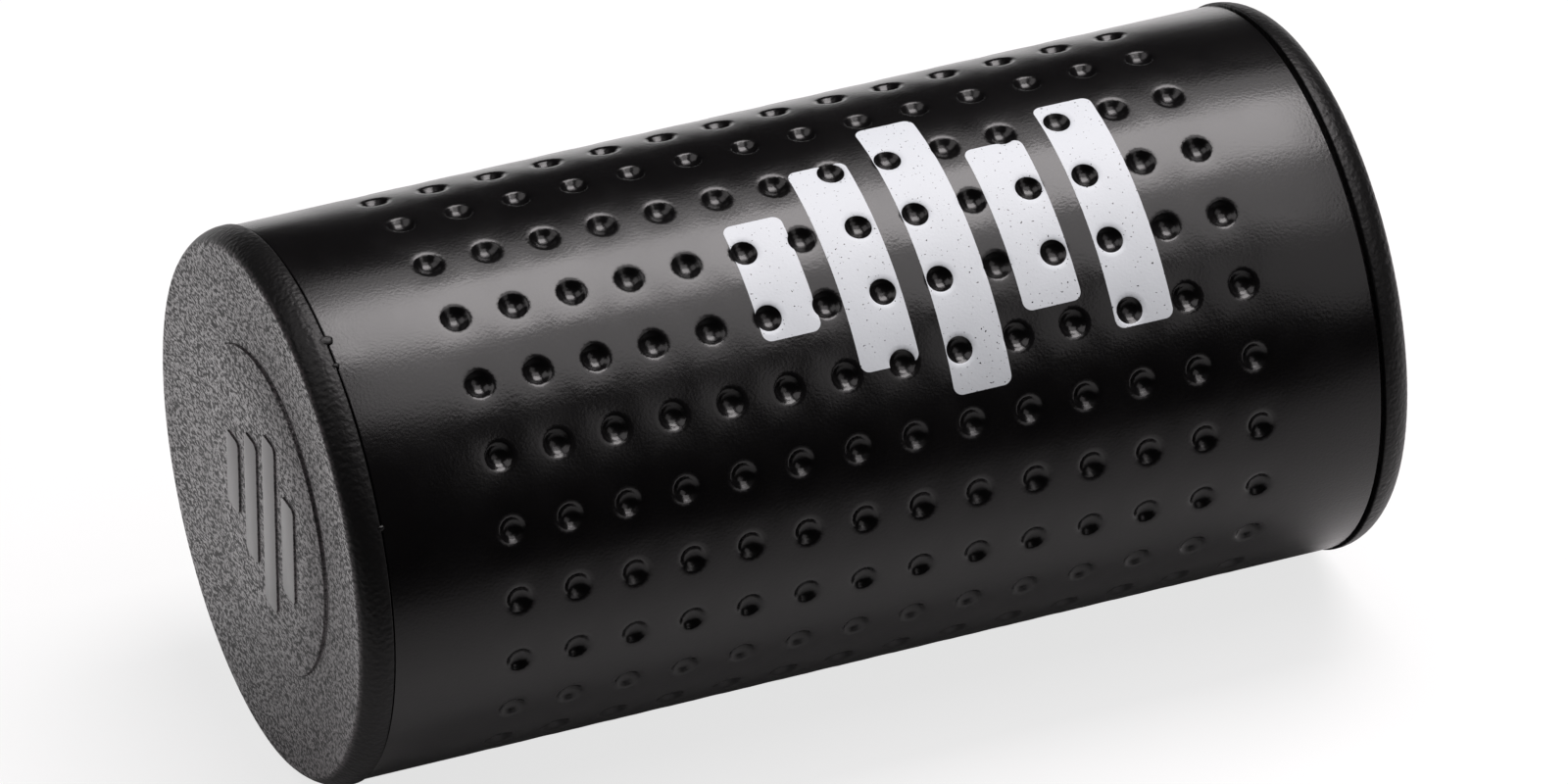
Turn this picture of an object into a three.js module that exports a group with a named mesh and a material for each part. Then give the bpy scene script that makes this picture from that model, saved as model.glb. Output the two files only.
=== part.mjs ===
// A hand-held tube shaker, lying on its side. A dimpled sheet-metal tube is closed by
// two plugged-in plastic caps, and steel shot rolls inside it.
// Millimetres. X runs along the tube, Z is up and the origin is the middle of the tube.
import * as THREE from "three";

// Tube
const tubeRadius = 30;
const tubeWall = 0.8;
const endMargin = 14.05; // from the last ring of dimples to the end of the tube

// Dimples: rings along the tube, rows round it, counted up from the front
const dimpleRings = 14;
const dimplePitch = 6.5;
const dimpleRows = 24;
const firstRowAngle = THREE.MathUtils.degToRad(5.5);
const dimpleRadius = 1.75;
const dimpleDepth = 0.9;

// Caps
const capHeight = 3.6; // from the end of the tube to the crest of the rim
const capProud = 0.3; // how far the rim stands out from the tube
const capEdgeRadius = 3.9;
const crestAngle = THREE.MathUtils.degToRad(40); // how steeply the rounded edge leaves the crest
const capPlate = 2.1;
const seamGap = 0.35; // the dark line between tube and rim
const crestWidth = 1; // the flat ring on which the shaker stands
const dishDepth = 0.7; // how far the face falls from the crest to the disc
const discRadius = 18;
const discHeight = 0.5; // how far the disc stands up in the dish
const spigotLength = 6;
const spigotWall = 2;
const leadIn = 0.6;
const plugClearance = 0.3;

// Shot
const shotRadius = 2;
const shotClearance = 0.3;

// Facets
const facetsPerRow = 2;
const pitSides = 6;
const bumpSides = 4;
const capFacets = 48;
const edgeSteps = 5;

// Sizes that follow from those
const boreRadius = tubeRadius - tubeWall;
const gridLength = dimpleRings * dimplePitch;
const tubeEnd = (gridLength - dimplePitch) / 2 + endMargin;
const rowAngle = (2 * Math.PI) / dimpleRows;
const facetAngle = rowAngle / facetsPerRow;
const boreFlat = boreRadius * Math.cos(facetAngle / 2); // from the axis to the middle of a facet
const bumpRadius = dimpleRadius + tubeWall / 2;

const paintedMetal = { color: 0x1c1c1d, roughness: 0.38, metalness: 0.5 };
const grainedPlastic = { color: 0x2c2b2c, roughness: 0.75, metalness: 0 };
const brightSteel = { color: 0xb9bcc0, roughness: 0.25, metalness: 1 };

const shaker = new THREE.Group();

function addPiece(name, geometry, finish) {
  const mesh = new THREE.Mesh(geometry, new THREE.MeshStandardMaterial(finish));
  mesh.name = name;
  shaker.add(mesh);
  return mesh;
}

// A point at an angle round the tube: 0 faces the front, and a quarter turn is the top.
function onTube(x, angle, radius) {
  return [x, -radius * Math.cos(angle), radius * Math.sin(angle)];
}

// Fills the band between two rings of points round one centre, both in order of bearing.
function bridge(outer, inner, addTriangle) {
  const bearingOf = (ring, n) =>
    ring[n % ring.length].bearing + (n < ring.length ? 0 : 2 * Math.PI);
  const pointOf = (ring, n) => ring[n % ring.length].point;
  let o = 0;
  let i = 0;
  while (o < outer.length || i < inner.length) {
    const outerFirst =
      i === inner.length ||
      (o < outer.length && bearingOf(outer, o + 1) <= bearingOf(inner, i + 1));
    if (outerFirst) {
      addTriangle(pointOf(outer, o), pointOf(outer, o + 1), pointOf(inner, i));
      o += 1;
    } else {
      addTriangle(pointOf(outer, o), pointOf(inner, i + 1), pointOf(inner, i));
      i += 1;
    }
  }
}

// The border of one dimple's cell, from the middle of its +X side onwards.
function cellBorder(x, angle, radius) {
  const border = [];
  const addPoint = (along, turn) => {
    const bearing = Math.atan2(radius * turn, along);
    border.push({
      bearing: bearing < 0 ? bearing + 2 * Math.PI : bearing,
      point: onTube(x + along, angle + turn, radius),
    });
  };
  for (let f = 0; f <= facetsPerRow; f += 1) {
    addPoint(dimplePitch / 2, f * facetAngle - rowAngle / 2);
    addPoint(-dimplePitch / 2, f * facetAngle - rowAngle / 2);
  }
  return border.sort((a, b) => a.bearing - b.bearing);
}

// The rim of one dimple, which lies on the round of the tube.
function dimpleRim(x, angle, radius, rimRadius, sides) {
  return Array.from({ length: sides }, (_, n) => {
    const bearing = (n * 2 * Math.PI) / sides;
    const turn = (rimRadius * Math.sin(bearing)) / radius;
    return { bearing, point: onTube(x + rimRadius * Math.cos(bearing), angle + turn, radius) };
  });
}

// One face of the sheet: the grid of dimples, and the plain stretch at each end.
function sheetFace(radius, rimRadius, sides, addTriangle) {
  for (let ring = 0; ring < dimpleRings; ring += 1) {
    for (let row = 0; row < dimpleRows; row += 1) {
      const x = ringPlace(ring);
      const angle = firstRowAngle + row * rowAngle;
      const rim = dimpleRim(x, angle, radius, rimRadius, sides);
      const deepest = onTube(x, angle, radius - dimpleDepth);
      bridge(cellBorder(x, angle, radius), rim, addTriangle);
      rim.forEach((corner, n) => {
        addTriangle(corner.point, rim[(n + 1) % sides].point, deepest);
      });
    }
  }
  for (const [from, to] of [[-tubeEnd, -gridLength / 2], [gridLength / 2, tubeEnd]]) {
    addBand(addTriangle, (angle) => [onTube(from, angle, radius), onTube(to, angle, radius)]);
  }
}

// A band of facets once round the tube, between two edges.
function addBand(addTriangle, edgesAt) {
  for (let f = 0; f < dimpleRows * facetsPerRow; f += 1) {
    const angle = firstRowAngle - rowAngle / 2 + f * facetAngle;
    const [nearA, farA] = edgesAt(angle);
    const [nearB, farB] = edgesAt(angle + facetAngle);
    addTriangle(nearA, farA, farB);
    addTriangle(nearA, farB, nearB);
  }
}

function ringPlace(ring) {
  return (ring - (dimpleRings - 1) / 2) * dimplePitch;
}

// The pressed sheet: every pit outside is a bump inside.
function tubeGeometry() {
  const positions = [];
  const facingOut = (a, b, c) => positions.push(...a, ...b, ...c);
  const facingIn = (a, b, c) => positions.push(...a, ...c, ...b);
  sheetFace(tubeRadius, dimpleRadius, pitSides, facingOut);
  sheetFace(boreRadius, bumpRadius, bumpSides, facingIn);
  const endFace = (x) => (angle) => [onTube(x, angle, tubeRadius), onTube(x, angle, boreRadius)];
  addBand(facingOut, endFace(tubeEnd));
  addBand(facingIn, endFace(-tubeEnd));
  const geometry = new THREE.BufferGeometry();
  geometry.setAttribute("position", new THREE.Float32BufferAttribute(positions, 3));
  return geometry;
}

// A cap's half section, with its height counted from the end of the tube.
function capGeometry() {
  const capRadius = tubeRadius + capProud;
  const spigotRadius = boreFlat - plugClearance;
  const spigotBore = spigotRadius - spigotWall;
  const edge = Math.min(capEdgeRadius, (capHeight - seamGap) / Math.cos(crestAngle));
  const edgeFoot = capHeight - edge * Math.cos(crestAngle);
  const crestRadius = capRadius - edge + edge * Math.sin(crestAngle);
  const lead = Math.min(leadIn, spigotWall / 2);
  const discFace = capHeight - dishDepth + discHeight;
  const section = [
    [0, capHeight - capPlate],
    [spigotBore, capHeight - capPlate],
    [spigotBore, -spigotLength],
    [spigotRadius - lead, -spigotLength],
    [spigotRadius, lead - spigotLength],
    [spigotRadius, seamGap],
    [capRadius, seamGap],
  ];
  for (let step = 0; step <= edgeSteps; step += 1) {
    const turn = (step / edgeSteps) * (Math.PI / 2 - crestAngle);
    section.push([
      capRadius - edge + edge * Math.cos(turn),
      edgeFoot + edge * Math.sin(turn),
    ]);
  }
  section.push(
    [crestRadius - crestWidth, capHeight],
    [discRadius, capHeight - dishDepth],
    [discRadius, discFace],
    [0, discFace],
  );
  const points = section.map(([radius, height]) => new THREE.Vector2(radius, height));
  // Half a facet's turn puts a flat of the rim at the bottom, where the shaker lies on it.
  return new THREE.LatheGeometry(points, capFacets, Math.PI / capFacets);
}

// Shot lies two deep along the bottom. The lower balls lie on the wall between the rings of
// bumps, or bridge two rings that are too close, and the upper balls lie in their saddles.
function shotHeights() {
  const reach = shotRadius + shotClearance;
  const halfPitch = dimplePitch / 2;
  const slope = Math.hypot(1 / bumpRadius, 1 / dimpleDepth);
  const besideBump = dimpleDepth * (1 - halfPitch / bumpRadius + reach * slope);
  const lower = Math.max(reach, besideBump);
  const saddle = Math.sqrt(Math.max(0, (reach + shotRadius) ** 2 - halfPitch ** 2));
  return { lower, upper: Math.max(dimpleDepth + reach, lower + saddle) };
}

addPiece("dimpled_tube", tubeGeometry(), paintedMetal);

const leftCap = addPiece("left_cap", capGeometry(), grainedPlastic);
leftCap.position.x = -tubeEnd;
leftCap.rotation.z = Math.PI / 2;

const rightCap = addPiece("right_cap", capGeometry(), grainedPlastic);
rightCap.position.x = tubeEnd;
rightCap.rotation.z = -Math.PI / 2;

const heights = shotHeights();
const shotCount = 2 * dimpleRings + 1;
for (let n = 0; n < shotCount; n += 1) {
  const name = `shot_${String(n + 1).padStart(2, "0")}`;
  const ball = addPiece(name, new THREE.IcosahedronGeometry(shotRadius, 1), brightSteel);
  const height = n % 2 === 0 ? heights.lower : heights.upper;
  ball.position.set((n * dimplePitch - gridLength) / 2, 0, height - boreFlat);
}

export default shaker;
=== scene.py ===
import bmesh
import bpy
import math
from mathutils import Matrix, Vector


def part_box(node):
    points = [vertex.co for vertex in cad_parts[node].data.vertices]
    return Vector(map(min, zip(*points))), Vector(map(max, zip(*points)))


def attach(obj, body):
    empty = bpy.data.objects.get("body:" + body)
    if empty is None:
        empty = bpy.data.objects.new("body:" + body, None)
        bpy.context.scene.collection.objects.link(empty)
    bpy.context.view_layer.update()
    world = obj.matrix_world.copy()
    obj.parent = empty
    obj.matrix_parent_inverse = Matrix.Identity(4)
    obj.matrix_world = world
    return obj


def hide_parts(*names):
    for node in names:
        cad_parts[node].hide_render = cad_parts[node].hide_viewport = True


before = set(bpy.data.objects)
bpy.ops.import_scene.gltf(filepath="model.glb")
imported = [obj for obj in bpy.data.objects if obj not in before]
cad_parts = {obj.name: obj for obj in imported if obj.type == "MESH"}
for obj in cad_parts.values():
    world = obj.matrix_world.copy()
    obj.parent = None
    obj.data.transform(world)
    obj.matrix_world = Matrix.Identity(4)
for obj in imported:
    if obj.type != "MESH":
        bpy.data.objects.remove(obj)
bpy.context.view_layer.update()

mm = 0.001
near = 0.01 * mm  # points within this of a plane, a circle or a seam count as on it
weld = 0.001 * mm  # points within this of each other are merged


# Hand tools

def clearSelection():
    if bpy.context.mode != "OBJECT":
        bpy.ops.object.mode_set(mode="OBJECT")
    bpy.ops.object.select_all(action="DESELECT")


def makeActive(piece):
    clearSelection()
    piece.select_set(True)
    bpy.context.view_layer.objects.active = piece


def openMesh(piece):
    makeActive(piece)
    bpy.ops.object.mode_set(mode="EDIT")
    bpy.ops.mesh.select_mode(type="VERT")


def pickVerts(test):  # selects the points whose place passes the test, and the edges between them
    bpy.ops.mesh.select_all(action="DESELECT")
    shape = bmesh.from_edit_mesh(bpy.context.object.data)
    for vert in shape.verts:
        if test(vert.co):
            vert.select_set(True)
    shape.select_flush(True)
    bmesh.update_edit_mesh(bpy.context.object.data)


def closeMesh():  # merges doubles, turns the faces outwards and leaves edit mode
    bpy.ops.mesh.select_all(action="SELECT")
    bpy.ops.mesh.remove_doubles(threshold=weld)
    bpy.ops.mesh.normals_make_consistent(inside=False)
    bpy.ops.object.mode_set(mode="OBJECT")


def applyModifier(piece, kind, **settings):
    makeActive(piece)
    bpy.ops.object.modifier_add(type=kind)
    modifier = piece.modifiers[-1]
    for key, value in settings.items():
        setattr(modifier, key, value)
    bpy.ops.object.modifier_apply(modifier=modifier.name)


def uniteWith(piece, tool):  # the tool becomes part of the piece
    applyModifier(piece, "BOOLEAN", operation="UNION", solver="EXACT", object=tool)
    makeActive(tool)
    bpy.ops.object.delete()


def joinPieces(first, *others):
    makeActive(first)
    for piece in others:
        piece.select_set(True)
    bpy.ops.object.join()
    return first


def smoothPiece(piece, angle):
    makeActive(piece)
    bpy.ops.object.shade_smooth_by_angle(angle=math.radians(angle))


def namePiece(piece, name):
    piece.name = name
    piece.data.name = name
    return piece


def fromAxis(co):
    return math.hypot(co.y, co.z)


# Node tools

def wire(tree, value, socket):  # a socket is linked, a plain value is set
    if isinstance(value, bpy.types.NodeSocket):
        tree.links.new(value, socket)
    elif value is not None:
        socket.default_value = value


def calc(tree, operation, *values):
    node = tree.nodes.new("ShaderNodeMath")
    node.operation = operation
    for value, socket in zip(values, node.inputs):
        wire(tree, value, socket)
    return node.outputs[0]


def lengthOf(tree, first, second):
    squares = [calc(tree, "POWER", side, 2.0) for side in (first, second)]
    return calc(tree, "SQRT", calc(tree, "ADD", *squares))


def splitPlace(tree, place):
    axes = tree.nodes.new("ShaderNodeSeparateXYZ")
    wire(tree, place, axes.inputs[0])
    return axes.outputs


def stretchPlace(tree, place, scale):
    mapping = tree.nodes.new("ShaderNodeMapping")
    wire(tree, place, mapping.inputs["Vector"])
    mapping.inputs["Scale"].default_value = scale
    return mapping.outputs[0]


def ramp(tree, value, low, high, toLow=0.0, toHigh=1.0):  # a clamped smooth step
    node = tree.nodes.new("ShaderNodeMapRange")
    node.interpolation_type = "SMOOTHSTEP"
    for name, part in zip(("Value", "From Min", "From Max", "To Min", "To Max"),
                          (value, low, high, toLow, toHigh)):
        wire(tree, part, node.inputs[name])
    return node.outputs["Result"]


def mixColors(tree, factor, first, second):
    node = tree.nodes.new("ShaderNodeMix")
    node.data_type = "RGBA"
    wire(tree, factor, node.inputs["Factor"])
    wire(tree, first, node.inputs[6])  # the sockets A, B and Result that hold colours
    wire(tree, second, node.inputs[7])
    return node.outputs[2]


def mixValues(tree, factor, first, second):
    node = tree.nodes.new("ShaderNodeMix")
    wire(tree, factor, node.inputs["Factor"])
    wire(tree, first, node.inputs["A"])
    wire(tree, second, node.inputs["B"])
    return node.outputs["Result"]


def noise(tree, vector, scale, detail, roughness=0.5):
    node = tree.nodes.new("ShaderNodeTexNoise")
    for name, part in zip(("Vector", "Scale", "Detail", "Roughness"), (vector, scale, detail, roughness)):
        wire(tree, part, node.inputs[name])
    return node.outputs["Fac"]


def newGroup(name, inputs, outputs):
    tree = bpy.data.node_groups.new(name, "ShaderNodeTree")
    for socketName, kind in inputs:
        tree.interface.new_socket(name=socketName, in_out="INPUT", socket_type=kind)
    for socketName, kind in outputs:
        tree.interface.new_socket(name=socketName, in_out="OUTPUT", socket_type=kind)
    return tree, tree.nodes.new("NodeGroupInput").outputs, tree.nodes.new("NodeGroupOutput").inputs


def useGroup(tree, group, **values):
    node = tree.nodes.new("ShaderNodeGroup")
    node.node_tree = group
    for name, value in values.items():
        wire(tree, value, node.inputs[name])
    return node.outputs


def newMaterial(name):
    material = bpy.data.materials.new(name)
    material.use_nodes = True
    tree = material.node_tree
    shader = tree.nodes["Principled BSDF"]
    place = tree.nodes.new("ShaderNodeTexCoord").outputs["Object"]
    return material, tree, shader.inputs, place


def bump(tree, height, distance):
    node = tree.nodes.new("ShaderNodeBump")
    wire(tree, height, node.inputs["Height"])
    node.inputs["Distance"].default_value = distance
    return node.outputs["Normal"]


# Shared effects

grainForm = {
    "detail": 1.0,
    "roughness": 0.4,
    "pebbleScale": 0.8,  # of the noise's scale
    "pebbleSmoothness": 0.35,
}
markForm = {
    "detail": 4.0,
    "roughness": 0.55,
    "range": (0.35, 0.68),  # the heights between which a mark comes up
}


def makeGrain():  # pebbles parted by creases, with fine noise over them
    tree, given, out = newGroup("surfaceGrain",
                                [("Vector", "NodeSocketVector"), ("Scale", "NodeSocketFloat"),
                                 ("Creases", "NodeSocketFloat")],
                                [("Height", "NodeSocketFloat")])
    soft = noise(tree, given["Vector"], given["Scale"], grainForm["detail"], grainForm["roughness"])
    cells = tree.nodes.new("ShaderNodeTexVoronoi")
    cells.feature = "SMOOTH_F1"
    cells.inputs["Smoothness"].default_value = grainForm["pebbleSmoothness"]
    wire(tree, given["Vector"], cells.inputs["Vector"])
    wire(tree, calc(tree, "MULTIPLY", given["Scale"], grainForm["pebbleScale"]), cells.inputs["Scale"])
    pebbles = calc(tree, "SUBTRACT", 1.0, cells.outputs["Distance"])
    wire(tree, mixValues(tree, given["Creases"], soft, pebbles), out["Height"])
    return tree


def makeMarks():  # soft uneven patches, as handling leaves on a finish
    tree, given, out = newGroup("handlingMarks",
                                [("Vector", "NodeSocketVector"), ("Scale", "NodeSocketFloat")],
                                [("Mask", "NodeSocketFloat")])
    patches = noise(tree, given["Vector"], given["Scale"], markForm["detail"], markForm["roughness"])
    wire(tree, ramp(tree, patches, *markForm["range"]), out["Mask"])
    return tree


def makeBar():  # a flat bar with rounded corners, 1 inside and 0 outside
    tree, given, out = newGroup("printedBar",
                                [(name, "NodeSocketFloat") for name in
                                 ("Across", "Along", "HalfWidth", "HalfLength", "Corner", "Edge")],
                                [("Mask", "NodeSocketFloat")])
    sides = []
    for position, half in (("Across", "HalfWidth"), ("Along", "HalfLength")):
        core = calc(tree, "SUBTRACT", given[half], given["Corner"])
        sides.append(calc(tree, "SUBTRACT", calc(tree, "ABSOLUTE", given[position]), core))
    outside = lengthOf(tree, *[calc(tree, "MAXIMUM", side, 0.0) for side in sides])
    inside = calc(tree, "MINIMUM", calc(tree, "MAXIMUM", *sides), 0.0)
    away = calc(tree, "SUBTRACT", calc(tree, "ADD", outside, inside), given["Corner"])
    wire(tree, ramp(tree, away, given["Edge"], calc(tree, "MULTIPLY", given["Edge"], -1.0)), out["Mask"])
    return tree


surfaceGrain = makeGrain()
handlingMarks = makeMarks()
printedBar = makeBar()
print("shared effects built")


# Dimpled tube: one dimple is modelled flat, repeated into a sheet, and the sheet is rolled up

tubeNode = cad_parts["dimpled_tube"]
tubeRadius = max(fromAxis(vert.co) for vert in tubeNode.data.vertices)
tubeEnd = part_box("dimpled_tube")[1].x

tube = {
    "wall": 0.8 * mm,
    "rings": 14,
    "pitch": 6.5 * mm,
    "rows": 24,
    "firstRow": math.radians(5.5),
    "cellSteps": 4,  # steps along each side of a dimple's square
    "cellInside": 0.49,  # of a side: points nearer the middle than this make way for the rim
    # rings of a dimple, outside and inside: radius and depth, mm
    "pit": [(2.1, 0.0), (1.64, 0.05), (1.42, 0.17), (1.15, 0.55), (0.6, 0.83)],
    "pitDepth": 0.92 * mm,
    "bump": [(2.6, 0.0), (1.9, 0.4), (1.1, 0.85)],
    "bumpDepth": 0.95 * mm,
    "outerRound": 0.15 * mm,
    "innerRound": 0.12 * mm,
    "roundSteps": 3,
    "smoothAngle": 50,
}
rowAngle = 2 * math.pi / tube["rows"]
rowArc = tubeRadius * rowAngle
gridEnd = tube["rings"] * tube["pitch"] / 2


def makeSheet(name, depth, rings, bottom):  # stands in the XZ plane, with its pits towards +Y
    firstX = tube["pitch"] / 2 - gridEnd
    firstZ = tubeRadius * tube["firstRow"] - rowArc * tube["rows"] / 2
    steps = tube["cellSteps"]
    clearSelection()
    bpy.ops.mesh.primitive_grid_add(x_subdivisions=steps, y_subdivisions=steps, size=1,
                                    rotation=(math.pi / 2, 0, 0))
    sheet = namePiece(bpy.context.object, name)
    sheet.scale = (tube["pitch"], rowArc, 1)
    bpy.ops.object.transform_apply(location=True, rotation=True, scale=True)

    # the middle is opened, and a round rim takes its place
    openMesh(sheet)
    insideX = tube["cellInside"] * tube["pitch"]
    insideZ = tube["cellInside"] * rowArc
    pickVerts(lambda co: abs(co.x) < insideX and abs(co.z) < insideZ)
    bpy.ops.mesh.delete(type="VERT")
    rim = rings[0][0] * mm
    bpy.ops.mesh.primitive_circle_add(vertices=4 * steps, radius=rim, rotation=(math.pi / 2, 0, 0))
    bpy.ops.mesh.select_all(action="SELECT")
    bpy.ops.mesh.bridge_edge_loops()

    # the pit is drawn down ring by ring
    pickVerts(lambda co: math.hypot(co.x, co.z) < rim + near)
    for (lastRadius, lastDepth), (radius, pitDepth) in zip(rings, rings[1:]):
        bpy.ops.mesh.extrude_region_move(
            TRANSFORM_OT_translate={"value": (0, (pitDepth - lastDepth) * mm, 0)})
        shrink = radius / lastRadius
        bpy.ops.transform.resize(value=(shrink, 1, shrink), center_override=(0, pitDepth * mm, 0))
    deepest = rings[-1][1] * mm
    bpy.ops.mesh.extrude_region_move(TRANSFORM_OT_translate={"value": (0, bottom - deepest, 0)})
    bpy.ops.mesh.merge(type="CENTER")
    bpy.ops.mesh.select_all(action="SELECT")
    bpy.ops.transform.translate(value=(firstX, depth, firstZ))
    bpy.ops.object.mode_set(mode="OBJECT")

    repeat = {"use_relative_offset": False, "use_constant_offset": True,
              "use_merge_vertices": True, "merge_threshold": weld}
    applyModifier(sheet, "ARRAY", count=tube["rings"],
                  constant_offset_displace=(tube["pitch"], 0, 0), **repeat)
    applyModifier(sheet, "ARRAY", count=tube["rows"],
                  constant_offset_displace=(0, 0, rowArc), **repeat)

    # the plain stretch at each end
    openMesh(sheet)
    for side in (-1, 1):
        pickVerts(lambda co: abs(co.x - side * gridEnd) < near)
        bpy.ops.mesh.extrude_region_move(
            TRANSFORM_OT_translate={"value": (side * (tubeEnd - gridEnd), 0, 0)})
    closeMesh()
    return sheet


def roundRim(radius, width):  # eases the edge that runs round both ends of the tube
    for side in (-1, 1):
        pickVerts(lambda co: abs(co.x - side * tubeEnd) < near and abs(fromAxis(co) - radius) < near)
        bpy.ops.mesh.bevel(offset=width, segments=tube["roundSteps"], affect="EDGES")


def makeTube(paint, bareSteel):
    outer = makeSheet("dimpledTube", 0.0, tube["pit"], tube["pitDepth"])
    outer.data.materials.append(paint)
    inner = makeSheet("tubeLining", tube["wall"], tube["bump"], tube["bumpDepth"])
    inner.data.materials.append(bareSteel)
    joinPieces(outer, inner)

    applyModifier(outer, "SIMPLE_DEFORM", deform_method="BEND", deform_axis="X", angle=2 * math.pi)
    openMesh(outer)
    bpy.ops.mesh.select_all(action="SELECT")
    bpy.ops.transform.translate(value=(0, -tubeRadius, 0))
    bpy.ops.mesh.remove_doubles(threshold=near)  # closes the seam where the sheet meets itself
    for side in (-1, 1):
        pickVerts(lambda co: abs(co.x - side * tubeEnd) < near)
        bpy.ops.mesh.bridge_edge_loops()
    roundRim(tubeRadius, tube["outerRound"])
    roundRim(tubeRadius - tube["wall"], tube["innerRound"])
    closeMesh()
    smoothPiece(outer, tube["smoothAngle"])
    return outer


# Tube paint: satin black with a white level meter printed over the dimples

paintFinish = {
    "black": (0.0026, 0.0023, 0.0025, 1),
    "gloss": (0.2, 0.25),  # roughness, clean and handled
    "ior": 1.42,
    "grainScale": 3200,
    "grainDepth": 0.013 * mm,
    "markScale": 90,
}
levelPrint = {
    "white": (0.59, 0.62, 0.65, 1),
    "roughness": 0.5,
    "centre": (11.5 * mm, math.radians(59)),  # along the tube and round it
    "barPitch": 9.6 * mm,
    "barWidth": 6.6 * mm,
    "barLengths": [14, 25, 34, 20, 28],  # mm, round the tube
    "corner": 1.0 * mm,
    "edge": 0.03 * mm,
    "holeRadius": 1.46 * mm,  # the ink stops at the lip of each dimple
    "speckScale": 3400,
    "speckDetail": 1.0,
    "speckCut": (0.71, 0.745),
}


def makePaint():
    material, tree, shader, place = newMaterial("satinBlackPaint")
    x, y, z = splitPlace(tree, place)
    angle = calc(tree, "ARCTAN2", z, calc(tree, "MULTIPLY", y, -1.0))

    # distance from the nearest dimple, on the unrolled sheet
    ring = calc(tree, "DIVIDE", calc(tree, "SUBTRACT", x, tube["pitch"] / 2), tube["pitch"])
    row = calc(tree, "DIVIDE", calc(tree, "SUBTRACT", angle, tube["firstRow"]), rowAngle)
    along = calc(tree, "MULTIPLY", calc(tree, "SUBTRACT", ring, calc(tree, "ROUND", ring)), tube["pitch"])
    across = calc(tree, "MULTIPLY", calc(tree, "SUBTRACT", row, calc(tree, "ROUND", row)), rowArc)
    fromDimple = lengthOf(tree, along, across)
    edge = levelPrint["edge"]
    printable = ramp(tree, fromDimple, levelPrint["holeRadius"] - edge, levelPrint["holeRadius"] + edge)

    bars = None
    middleX, middleAngle = levelPrint["centre"]
    for number, length in enumerate(levelPrint["barLengths"]):
        offset = (number - (len(levelPrint["barLengths"]) - 1) / 2) * levelPrint["barPitch"]
        bar = useGroup(tree, printedBar,
                       Across=calc(tree, "SUBTRACT", x, middleX + offset),
                       Along=calc(tree, "MULTIPLY", calc(tree, "SUBTRACT", angle, middleAngle), tubeRadius),
                       HalfWidth=levelPrint["barWidth"] / 2, HalfLength=length * mm / 2,
                       Corner=levelPrint["corner"], Edge=edge)["Mask"]
        bars = bar if bars is None else calc(tree, "MAXIMUM", bars, bar)
    worn = noise(tree, place, levelPrint["speckScale"], levelPrint["speckDetail"])
    specks = ramp(tree, worn, *levelPrint["speckCut"])
    ink = calc(tree, "MULTIPLY", calc(tree, "MULTIPLY", bars, printable), calc(tree, "SUBTRACT", 1.0, specks))

    marks = useGroup(tree, handlingMarks, Vector=place, Scale=paintFinish["markScale"])["Mask"]
    satin = ramp(tree, marks, 0.0, 1.0, *paintFinish["gloss"])
    grain = useGroup(tree, surfaceGrain, Vector=place, Scale=paintFinish["grainScale"], Creases=0.0)["Height"]

    wire(tree, mixColors(tree, ink, paintFinish["black"], levelPrint["white"]), shader["Base Color"])
    wire(tree, mixValues(tree, ink, satin, levelPrint["roughness"]), shader["Roughness"])
    wire(tree, bump(tree, grain, paintFinish["grainDepth"]), shader["Normal"])
    shader["IOR"].default_value = paintFinish["ior"]
    return material


# Bare steel of the tube's inside, rolled lengthwise

liningFinish = {
    "steel": (0.46, 0.45, 0.44, 1),
    "tarnish": (0.3, 0.29, 0.28, 1),
    "roughness": (0.3, 0.45),
    "rollScale": 900,
    "rollStretch": (0.04, 1, 1),
    "rollDepth": 0.01 * mm,
    "rollRange": (0.3, 0.7),  # the heights between which the steel goes from clear to dull
    "markScale": 120,
}


def makeLining():
    material, tree, shader, place = newMaterial("rolledSteel")
    along = stretchPlace(tree, place, liningFinish["rollStretch"])
    rolled = useGroup(tree, surfaceGrain, Vector=along, Scale=liningFinish["rollScale"],
                      Creases=0.0)["Height"]
    marks = useGroup(tree, handlingMarks, Vector=place, Scale=liningFinish["markScale"])["Mask"]
    wire(tree, mixColors(tree, marks, liningFinish["steel"], liningFinish["tarnish"]), shader["Base Color"])
    dull = ramp(tree, rolled, *liningFinish["rollRange"], *liningFinish["roughness"])
    wire(tree, dull, shader["Roughness"])
    wire(tree, bump(tree, rolled, liningFinish["rollDepth"]), shader["Normal"])
    shader["Metallic"].default_value = 1.0
    return material


dimpledTube = makeTube(makePaint(), makeLining())
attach(dimpledTube, "shell")
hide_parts("dimpled_tube")
print("tube rolled:", len(dimpledTube.data.polygons), "faces")


# End caps: turned ring by ring from the disc out over the dish and the crest, and back to the plug

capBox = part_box("right_cap")
cap = {
    "segments": 128,
    "radius": capBox[1].z,
    "crest": capBox[1].x,
    "crestAngle": 40,  # how steeply the rounded edge leaves the crest
    "crestRound": 0.45 * mm,
    "crestSteps": 4,
    "dishDepth": 0.7 * mm,
    "discRadius": 18.0 * mm,
    "discHeight": 0.42 * mm,
    "discRound": 0.16 * mm,
    "discSteps": 2,
    "edgeRadius": 3.7 * mm,
    "edgeSteps": 9,
    "leftSeam": 0.15 * mm,  # between the end of the tube and the rim, where the cap is driven home
    "rightSeam": 0.46 * mm,  # and where it stands off
    "seamRound": 0.16 * mm,
    "seamSteps": 3,
    "plugClearance": 0.3 * mm,
    "plugEnd": capBox[0].x,
    "plugWall": 2.0 * mm,
    "leadIn": 0.6 * mm,
    "plate": 2.1 * mm,
    "smoothAngle": 32,
}
relief = {  # raised level bars on the disc
    "heights": [9.0, 15.0, 21.0, 12.0],  # mm
    "pitch": 5.4 * mm,
    "width": 3.5 * mm,
    "proud": 0.19 * mm,
    "corner": 0.7 * mm,
    "cornerSteps": 4,
    "ease": 0.06 * mm,
    "easeSteps": 2,
    "sunk": 0.3 * mm,
}
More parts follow.
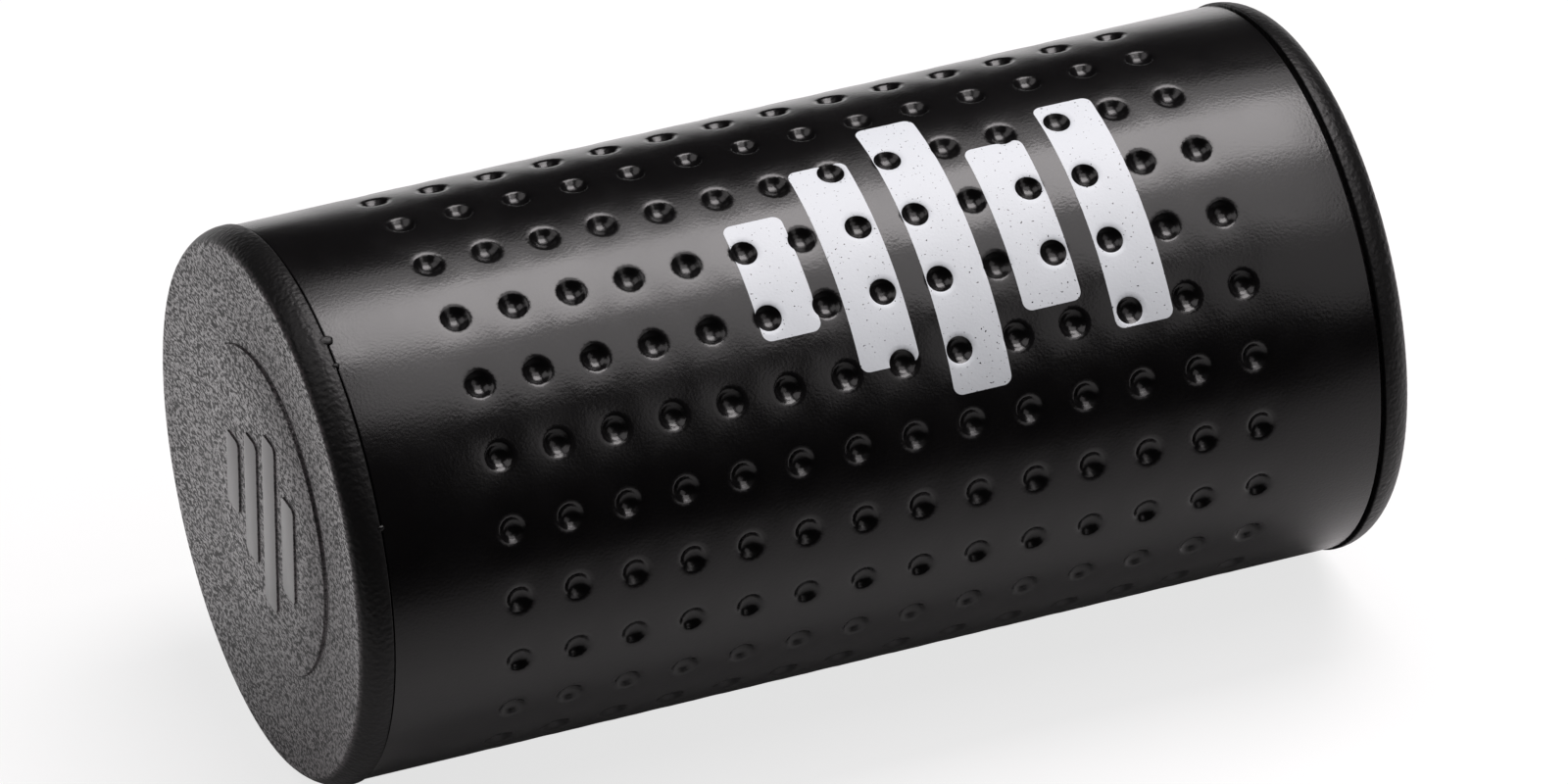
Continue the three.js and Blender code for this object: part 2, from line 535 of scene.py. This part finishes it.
flash = {  # crumbs of moulding flash on the left seam
    "angles": [67, 61, 27],  # degrees up round the rim from the front
    "reaches": [0.85, 0.45, 0.4],  # mm, out over the tube
    "width": 0.7,  # in reaches
    "height": 0.3 * mm,
    "rough": 0.06 * mm,
    "subdivisions": 2,
}


def arc(centreX, centreRadius, radius, start, end, steps):  # points of (x, radius), angles from +X
    points = []
    for step in range(steps + 1):
        turn = math.radians(start + (end - start) * step / steps)
        points.append((centreX + radius * math.cos(turn), centreRadius + radius * math.sin(turn)))
    return points


def capSection(seam):
    crest, radius, edge, easing = cap["crest"], cap["radius"], cap["edgeRadius"], cap["discRound"]
    dish = crest - cap["dishDepth"]
    discFace = dish + cap["discHeight"]
    discRadius = cap["discRadius"]
    steep = math.radians(cap["crestAngle"])
    inner = edge - cap["crestRound"]
    crestRadius = radius - edge + inner * math.sin(steep)
    edgeFoot = crest - cap["crestRound"] - inner * math.cos(steep)
    slope = math.degrees(math.atan2(cap["dishDepth"], crestRadius - discRadius))
    rimFoot = tubeEnd + seam
    halfFacet = rowAngle / 4  # the CAD tube has two facets to a row
    plugRadius = tubeRadius * math.cos(halfFacet) - tube["wall"] - cap["plugClearance"]
    boreRadius = plugRadius - cap["plugWall"]
    lead = cap["leadIn"]
    section = arc(discFace - easing, discRadius - easing, easing, 0, 90, cap["discSteps"])
    section += arc(dish + easing, discRadius + easing, easing, 270, 180, cap["discSteps"])
    section += arc(crest - cap["crestRound"], crestRadius, cap["crestRound"], -slope, cap["crestAngle"],
                   cap["crestSteps"])
    section += arc(edgeFoot, radius - edge, edge, cap["crestAngle"], 90, cap["edgeSteps"])[1:]
    section += arc(rimFoot + cap["seamRound"], radius - cap["seamRound"], cap["seamRound"], 90, 180,
                   cap["seamSteps"])
    section += [(rimFoot, plugRadius), (cap["plugEnd"] + lead, plugRadius),
                (cap["plugEnd"], plugRadius - lead), (cap["plugEnd"], boreRadius),
                (crest - cap["plate"], boreRadius)]
    return section


def makeRelief(floor):
    bars = []
    for number, height in enumerate(relief["heights"]):
        offset = (number - (len(relief["heights"]) - 1) / 2) * relief["pitch"]
        clearSelection()
        middle = floor + (relief["proud"] - relief["sunk"]) / 2
        bpy.ops.mesh.primitive_cube_add(size=1, location=(middle, offset, 0))
        bar = bpy.context.object
        bar.scale = (relief["proud"] + relief["sunk"], relief["width"], height * mm)
        bpy.ops.object.transform_apply(location=True, rotation=True, scale=True)
        openMesh(bar)
        bpy.ops.mesh.select_mode(type="EDGE")
        bpy.ops.mesh.select_all(action="DESELECT")
        shape = bmesh.from_edit_mesh(bar.data)
        for edge in shape.edges:
            edge.select_set(abs(edge.verts[0].co.x - edge.verts[1].co.x) > relief["ease"])
        bmesh.update_edit_mesh(bar.data)
        bpy.ops.mesh.bevel(offset=relief["corner"], segments=relief["cornerSteps"], affect="EDGES")
        bpy.ops.mesh.select_mode(type="VERT")
        pickVerts(lambda co: co.x > floor)
        bpy.ops.mesh.select_mode(type="FACE")
        bpy.ops.mesh.bevel(offset=relief["ease"], segments=relief["easeSteps"], affect="EDGES")
        closeMesh()
        bars.append(bar)
    return joinPieces(*bars)


def makeCap(name, seam, plastic, polished):
    section = capSection(seam)
    startX, startRadius = section[0]
    clearSelection()
    bpy.ops.mesh.primitive_circle_add(vertices=cap["segments"], radius=startRadius, fill_type="NGON",
                                      location=(startX, 0, 0), rotation=(0, math.pi / 2, 0))
    piece = namePiece(bpy.context.object, name)
    bpy.ops.object.transform_apply(location=True, rotation=True, scale=True)
    openMesh(piece)
    bpy.ops.mesh.select_mode(type="EDGE")
    bpy.ops.mesh.select_all(action="SELECT")
    for (lastX, lastRadius), (x, radius) in zip(section, section[1:]):
        bpy.ops.mesh.extrude_edges_move(TRANSFORM_OT_translate={"value": (x - lastX, 0, 0)})
        grow = radius / lastRadius
        bpy.ops.transform.resize(value=(1, grow, grow), center_override=(x, 0, 0))
    bpy.ops.mesh.edge_face_add()
    closeMesh()

    uniteWith(piece, makeRelief(startX))
    piece.data.materials.append(plastic)
    piece.data.materials.append(polished)
    openMesh(piece)
    barFace = startX + relief["proud"]
    pickVerts(lambda co: abs(co.x - barFace) < near and fromAxis(co) < cap["discRadius"])
    piece.active_material_index = 1
    bpy.ops.object.material_slot_assign()
    closeMesh()
    smoothPiece(piece, cap["smoothAngle"])
    return piece


def addFlash(piece):  # on the left cap, where its rim meets the tube
    for number, (degrees, reach) in enumerate(zip(flash["angles"], flash["reaches"])):
        turn = math.radians(degrees)
        lift = tubeRadius + flash["height"] / 2
        clearSelection()
        bpy.ops.mesh.primitive_ico_sphere_add(subdivisions=flash["subdivisions"], radius=1)
        crumb = bpy.context.object
        openMesh(crumb)
        bpy.ops.mesh.select_all(action="SELECT")
        bpy.ops.transform.resize(value=(reach * mm, flash["height"] / 2, reach * mm * flash["width"]))
        bpy.ops.transform.vertex_random(offset=flash["rough"], seed=number)
        closeMesh()
        crumb.location = (-tubeEnd - cap["leftSeam"], -lift * math.cos(turn), lift * math.sin(turn))
        crumb.rotation_euler = (-turn, 0, 0)
        bpy.ops.object.transform_apply(location=True, rotation=True, scale=True)
        uniteWith(piece, crumb)


# Cap plastic: moulded black, with a grained face of pebbles, a coarser edge and smooth raised bars. Light and
# shade are painted on it: the pebble tops are painted lighter and the creases near black, the edge is painted
# darker than the face, and the bars are painted a lighter grey as painted sheen

capFinish = {
    # painted light and shade in the grain: the pebble colour is the plastic's black lifted by painted light,
    # and the crease colour is painted shade
    "pebbles": (0.105, 0.091, 0.096, 1),
    "creases": (0.006, 0.0056, 0.0057, 1),
    "roughness": (0.7, 0.22),  # down in the creases and on top of the pebbles
    "flecks": (0.4, 0.59),  # the heights between which a pebble rises
    "grainScale": 4000,
    "grainStretch": (1, 0.5, 1),
    "creased": 0.3,
    "grainDepth": 0.07 * mm,
    "ior": 1.65,
    "crestRing": (29.3 * mm, 28.6 * mm),  # where the edge gives way to the face
    # painted shade: the rounded edge is coloured darker than the face
    "edge": (0.004, 0.0038, 0.0039, 1),
    "edgeRoughness": 0.42,
    "edgeIor": 1.3,
    "edgeScale": 1900,
    "edgeDepth": 0.12 * mm,
}
reliefFinishAndSheen = {
    # both greys are the black plastic lifted to a lighter grey as painted sheen on the smooth bars; the
    # handling patches pick between them
    "worn": (0.17, 0.164, 0.165, 1),
    "fresh": (0.14, 0.135, 0.136, 1),
    "roughness": (0.3, 0.36),
    "ior": 1.7,
    "grainScale": 2600,
    "creased": 0.1,
    "grainDepth": 0.01 * mm,
    "markScale": 140,
}


def makeGrained():
    material, tree, shader, place = newMaterial("grainedPlastic")
    _, y, z = splitPlace(tree, place)
    onFace = ramp(tree, lengthOf(tree, y, z), *capFinish["crestRing"])
    stretched = stretchPlace(tree, place, capFinish["grainStretch"])
    faceGrain = useGroup(tree, surfaceGrain, Vector=stretched, Scale=capFinish["grainScale"],
                         Creases=capFinish["creased"])["Height"]
    edgeGrain = useGroup(tree, surfaceGrain, Vector=place, Scale=capFinish["edgeScale"],
                         Creases=capFinish["creased"])["Height"]

    # the grain's colour: painted light on the pebble tops and painted shade in the creases
    pebbleLightAndShade = mixColors(tree, ramp(tree, faceGrain, *capFinish["flecks"]), capFinish["creases"],
                        capFinish["pebbles"])
    # the face's colour meets the edge's painted shade at the crest
    wire(tree, mixColors(tree, onFace, capFinish["edge"], pebbleLightAndShade), shader["Base Color"])
    matt = ramp(tree, faceGrain, *capFinish["flecks"], *capFinish["roughness"])
    wire(tree, mixValues(tree, onFace, capFinish["edgeRoughness"], matt), shader["Roughness"])
    faceHeight = calc(tree, "MULTIPLY", faceGrain, capFinish["grainDepth"])
    edgeHeight = calc(tree, "MULTIPLY", edgeGrain, capFinish["edgeDepth"])
    height = mixValues(tree, onFace, edgeHeight, faceHeight)  # in metres, so the bump's distance is one
    wire(tree, bump(tree, height, 1.0), shader["Normal"])
    wire(tree, mixValues(tree, onFace, capFinish["edgeIor"], capFinish["ior"]), shader["IOR"])
    return material


def makePolished():
    material, tree, shader, place = newMaterial("smoothPlastic")
    grain = useGroup(tree, surfaceGrain, Vector=place, Scale=reliefFinishAndSheen["grainScale"],
                     Creases=reliefFinishAndSheen["creased"])["Height"]
    marks = useGroup(tree, handlingMarks, Vector=place, Scale=reliefFinishAndSheen["markScale"])["Mask"]
    # painted sheen: the bars' lighter grey, patched by handling
    wire(tree, mixColors(tree, marks, reliefFinishAndSheen["fresh"], reliefFinishAndSheen["worn"]), shader["Base Color"])
    wire(tree, ramp(tree, marks, 0.0, 1.0, *reliefFinishAndSheen["roughness"]), shader["Roughness"])
    wire(tree, bump(tree, grain, reliefFinishAndSheen["grainDepth"]), shader["Normal"])
    shader["IOR"].default_value = reliefFinishAndSheen["ior"]
    return material


grained = makeGrained()
polished = makePolished()
rightCap = makeCap("rightCap", cap["rightSeam"], grained, polished)
leftCap = makeCap("leftCap", cap["leftSeam"], grained, polished)
makeActive(leftCap)
bpy.ops.transform.rotate(value=math.pi, orient_axis="Z", center_override=(0, 0, 0))
bpy.ops.object.transform_apply(location=True, rotation=True, scale=True)
addFlash(leftCap)
smoothPiece(leftCap, cap["smoothAngle"])
for piece, node in ((leftCap, "left_cap"), (rightCap, "right_cap")):
    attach(piece, "shell")
    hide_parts(node)
print("caps turned:", len(leftCap.data.polygons), "and", len(rightCap.data.polygons), "faces")


# Steel shot: one ball with ground ends and a faint belt, copied to each place

shot = {
    "segments": 24,
    "rings": 14,
    "endFlat": 0.955,  # height of the ground ends, in radii
    "belt": 0.985,  # the belt's neighbours stand in a little
    "turn": (0.9, 1.7, 0.4),  # each ball lies a little further round
    "smoothAngle": 60,
}
shotFinish = {
    "steel": (0.62, 0.62, 0.61, 1),
    "scuffed": (0.45, 0.44, 0.43, 1),
    "roughness": (0.14, 0.34),
    "scuffScale": 900,
    "grainScale": 4200,
    "creased": 0.2,
    "grainDepth": 0.006 * mm,
}


def makeShotSteel():
    material, tree, shader, place = newMaterial("shotSteel")
    marks = useGroup(tree, handlingMarks, Vector=place, Scale=shotFinish["scuffScale"])["Mask"]
    grain = useGroup(tree, surfaceGrain, Vector=place, Scale=shotFinish["grainScale"],
                     Creases=shotFinish["creased"])["Height"]
    wire(tree, mixColors(tree, marks, shotFinish["steel"], shotFinish["scuffed"]), shader["Base Color"])
    wire(tree, ramp(tree, marks, 0.0, 1.0, *shotFinish["roughness"]), shader["Roughness"])
    wire(tree, bump(tree, grain, shotFinish["grainDepth"]), shader["Normal"])
    shader["Metallic"].default_value = 1.0
    return material


def makeBall(steel):
    low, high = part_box("shot_01")
    radius = max((high - low) / 2)
    clearSelection()
    bpy.ops.mesh.primitive_uv_sphere_add(segments=shot["segments"], ring_count=shot["rings"], radius=radius)
    ball = bpy.context.object
    openMesh(ball)
    flat = shot["endFlat"] * radius
    for side in (-1, 1):
        pickVerts(lambda co: side * co.z > flat - near)
        bpy.ops.transform.resize(value=(1, 1, 0), center_override=(0, 0, side * flat))
    beltTop = radius * math.sin(1.5 * math.pi / shot["rings"])  # between the first and second ring up
    pickVerts(lambda co: near < abs(co.z) < beltTop)
    bpy.ops.transform.resize(value=(shot["belt"], shot["belt"], 1), center_override=(0, 0, 0))
    closeMesh()
    ball.data.materials.append(steel)
    smoothPiece(ball, shot["smoothAngle"])
    return ball


firstBall = makeBall(makeShotSteel())
shotNodes = sorted(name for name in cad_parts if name.startswith("shot_"))
for number, node in enumerate(shotNodes):
    low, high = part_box(node)
    makeActive(firstBall)
    bpy.ops.object.duplicate(linked=False)
    ball = namePiece(bpy.context.object, node.replace("shot_", "shotBall"))
    ball.rotation_euler = [number * turn for turn in shot["turn"]]
    ball.location = (low + high) / 2
    bpy.ops.object.transform_apply(location=True, rotation=True, scale=True)
    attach(ball, node)
    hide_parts(node)
makeActive(firstBall)
bpy.ops.object.delete()
print("shot laid:", len(shotNodes), "balls")


# Studio: a pale floor painted dark towards the front except to the camera, a painted fall-off of light that
# shows in reflections and bounce light, with a softbox overhead and weaker ones round it

studio = {
    "floorSize": 10.0,
    "floor": (0.88, 0.88, 0.88, 1),
    "floorRoughness": 0.8,
    "frontShadeFade": (-0.24, 0.05),  # between these the floor is painted dark towards the front, as a painted fall-off of light, except to the camera
    # the painted shade of the floor at the front
    "paintedFrontShade": (0.02, 0.02, 0.02, 1),
    "cameraGlow": 0.75,  # how far the floor is paler to the camera
    "mirrorGlow": 0.55,  # and to reflections
    "mirrorSlant": 0.5,  # share of X taken off Y, so that this glow comes up to the back and left
    "mirrorRise": (0.01, 0.06),  # between these
    "world": (0.02, 0.02, 0.02, 1),
    "tint": (1.0, 0.955, 0.965),
}
softboxes = {
    "overhead": {"towards": (0.3, 0.15, 0.94), "distance": 1.0, "size": (0.7, 0.5), "radiance": 9.0},
    "back": {"towards": (0.31, 0.48, 0.82), "distance": 1.1, "size": (0.75, 0.26), "radiance": 2.0},
    "front": {"towards": (0.323, -0.34, 0.88), "distance": 1.2, "size": (0.9, 0.5), "radiance": 2.5},
    "left": {"towards": (-0.55, 0.14, 0.82), "distance": 1.1, "size": (0.7, 0.7), "radiance": 1.6},
    "right": {"towards": (0.55, -0.667, 0.5), "distance": 0.6, "size": (0.34, 0.3), "radiance": 0.9},
}
camera = {
    "target": (-0.025 * mm, -0.089 * mm, -0.252 * mm),
    "azimuth": math.radians(-22.797),
    "elevation": math.radians(33.515),
    "distance": 1.4706,
    "lens": 316.6,
}


def addSoftbox(name, lamp):
    towards = Vector(lamp["towards"]).normalized()
    level = Vector((0, 1, 0)).cross(towards).normalized()
    turned = Matrix((level, towards.cross(level), towards)).transposed()
    clearSelection()
    bpy.ops.object.light_add(type="AREA", location=towards * lamp["distance"], rotation=turned.to_euler())
    light = bpy.context.object
    light.name = name
    light.data.shape = "RECTANGLE"
    light.data.size, light.data.size_y = lamp["size"]
    light.data.energy = lamp["radiance"] * math.pi * math.prod(lamp["size"])
    light.data.color = studio["tint"]


def makeFloor():
    clearSelection()
    bpy.ops.mesh.primitive_plane_add(size=studio["floorSize"], location=(0, 0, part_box("left_cap")[0].z))
    floor = namePiece(bpy.context.object, "studioFloor")
    material, tree, shader, place = newMaterial("paleFloor")
    shader["Roughness"].default_value = studio["floorRoughness"]
    x, y, _ = splitPlace(tree, place)
    path = tree.nodes.new("ShaderNodeLightPath").outputs
    # painted fall-off of light: the floor's colour goes dark towards the front for reflections and bounce
    # light, and stays pale to the camera
    unshadedFloor = ramp(tree, y, *studio["frontShadeFade"])
    pale = calc(tree, "MAXIMUM", unshadedFloor, path["Is Camera Ray"])
    wire(tree, mixColors(tree, pale, studio["paintedFrontShade"], studio["floor"]), shader["Base Color"])

    # the camera and reflections see a paler floor, which keeps part of the shadow
    mirrored = calc(tree, "MAXIMUM", path["Is Glossy Ray"], path["Is Transmission Ray"])
    slant = calc(tree, "MULTIPLY", x, studio["mirrorSlant"])
    rising = ramp(tree, calc(tree, "SUBTRACT", y, slant), *studio["mirrorRise"])
    inMirror = calc(tree, "MULTIPLY", calc(tree, "MULTIPLY", mirrored, rising), studio["mirrorGlow"])
    toCamera = calc(tree, "MULTIPLY", path["Is Camera Ray"], studio["cameraGlow"])
    glow = tree.nodes.new("ShaderNodeEmission")
    paler = tree.nodes.new("ShaderNodeMixShader")
    wire(tree, calc(tree, "MAXIMUM", toCamera, inMirror), paler.inputs["Fac"])
    wire(tree, tree.nodes["Principled BSDF"].outputs[0], paler.inputs[1])
    wire(tree, glow.outputs[0], paler.inputs[2])
    wire(tree, paler.outputs[0], tree.nodes["Material Output"].inputs["Surface"])
    material.cycles.emission_sampling = "NONE"
    floor.data.materials.append(material)


def makeWorld():
    world = bpy.data.worlds.new("studioWorld")
    world.use_nodes = True
    world.node_tree.nodes["Background"].inputs["Color"].default_value = studio["world"]
    bpy.context.scene.world = world


def makeCamera():
    azimuth, elevation = camera["azimuth"], camera["elevation"]
    back = Vector((math.sin(azimuth) * math.cos(elevation), -math.cos(azimuth) * math.cos(elevation),
                   math.sin(elevation)))
    clearSelection()
    bpy.ops.object.camera_add(location=Vector(camera["target"]) + back * camera["distance"],
                              rotation=back.to_track_quat("Z", "Y").to_euler())
    bpy.context.object.data.lens = camera["lens"]
    bpy.context.scene.camera = bpy.context.object


makeFloor()
makeWorld()
for name, lamp in softboxes.items():
    addSoftbox(name + "Softbox", lamp)
makeCamera()
bpy.context.scene.view_settings.view_transform = "Standard"
print("studio set")
